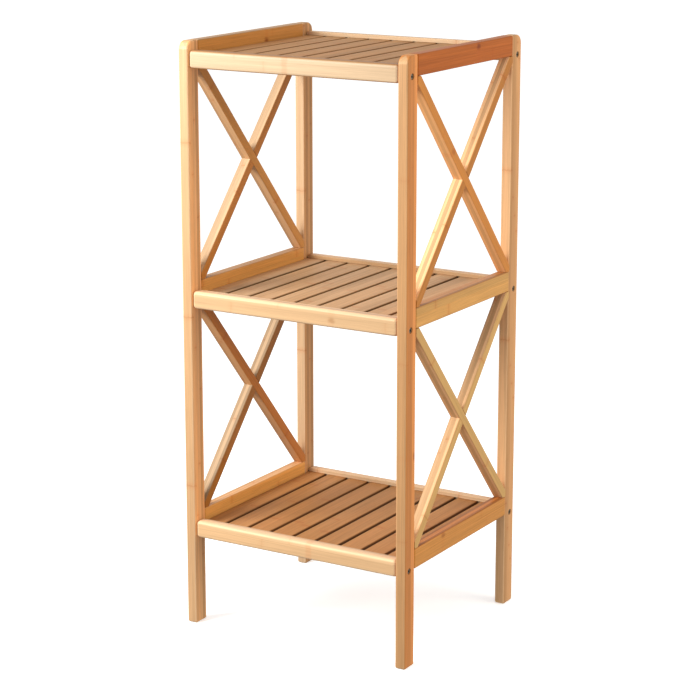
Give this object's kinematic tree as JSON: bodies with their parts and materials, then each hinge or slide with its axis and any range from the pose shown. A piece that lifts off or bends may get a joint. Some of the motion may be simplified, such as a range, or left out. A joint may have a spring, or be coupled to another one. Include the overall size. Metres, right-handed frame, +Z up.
{
  "type": "towel rack",
  "caption": "Free-standing bamboo towel rack: X-braced side frames carrying slatted shelves between rounded cross rails.",
  "frame": {"origin": "on the floor, under the centre of the rack", "axes": "+Z up; -Y is the open front; +X is to the right seen from the front"},
  "size_m": [0.344, 0.308, 0.8],
  "materials": {
    "bamboo_post": "satin lacquered laminated bamboo",
    "bamboo_side_rail": "satin lacquered laminated bamboo, warmer tone",
    "bamboo_brace": "satin lacquered laminated bamboo",
    "bamboo_shelf_rail": "satin lacquered laminated bamboo, paler tone",
    "bamboo_slat": "satin lacquered laminated bamboo",
    "zinc_steel": "dull zinc plated hex-socket bolt"
  },
  "bodies": {
    "root": {"post_front_left": "bamboo_post", "post_back_left": "bamboo_post", "side_rail_left_bottom": "bamboo_side_rail", "side_rail_left_middle": "bamboo_side_rail", "side_rail_left_top": "bamboo_side_rail", "x_brace_left_lower": "bamboo_brace", "x_brace_left_upper": "bamboo_brace", "post_front_right": "bamboo_post", "post_back_right": "bamboo_post", "side_rail_right_bottom": "bamboo_side_rail", "side_rail_right_middle": "bamboo_side_rail", "side_rail_right_top": "bamboo_side_rail", "x_brace_right_lower": "bamboo_brace", "x_brace_right_upper": "bamboo_brace", "shelf_rail_front_bottom": "bamboo_shelf_rail", "shelf_rail_back_bottom": "bamboo_shelf_rail", "slat_bottom_1": "bamboo_slat", "slat_bottom_2": "bamboo_slat", "slat_bottom_3": "bamboo_slat", "slat_bottom_4": "bamboo_slat", "slat_bottom_5": "bamboo_slat", "slat_bottom_6": "bamboo_slat", "slat_bottom_7": "bamboo_slat", "slat_bottom_8": "bamboo_slat", "slat_bottom_9": "bamboo_slat", "shelf_rail_front_middle": "bamboo_shelf_rail", "shelf_rail_back_middle": "bamboo_shelf_rail", "slat_middle_1": "bamboo_slat", "slat_middle_2": "bamboo_slat", "slat_middle_3": "bamboo_slat", "slat_middle_4": "bamboo_slat", "slat_middle_5": "bamboo_slat", "slat_middle_6": "bamboo_slat", "slat_middle_7": "bamboo_slat", "slat_middle_8": "bamboo_slat", "slat_middle_9": "bamboo_slat", "shelf_rail_front_top": "bamboo_shelf_rail", "shelf_rail_back_top": "bamboo_shelf_rail", "slat_top_1": "bamboo_slat", "slat_top_2": "bamboo_slat", "slat_top_3": "bamboo_slat", "slat_top_4": "bamboo_slat", "slat_top_5": "bamboo_slat", "slat_top_6": "bamboo_slat", "slat_top_7": "bamboo_slat", "slat_top_8": "bamboo_slat", "slat_top_9": "bamboo_slat", "bolt_front_left_bottom": "zinc_steel", "bolt_front_left_middle": "zinc_steel", "bolt_front_left_top": "zinc_steel", "bolt_back_left_bottom": "zinc_steel", "bolt_back_left_middle": "zinc_steel", "bolt_back_left_top": "zinc_steel", "bolt_front_right_bottom": "zinc_steel", "bolt_front_right_middle": "zinc_steel", "bolt_front_right_top": "zinc_steel", "bolt_back_right_bottom": "zinc_steel", "bolt_back_right_middle": "zinc_steel", "bolt_back_right_top": "zinc_steel"}
  },
  "joints": []
}
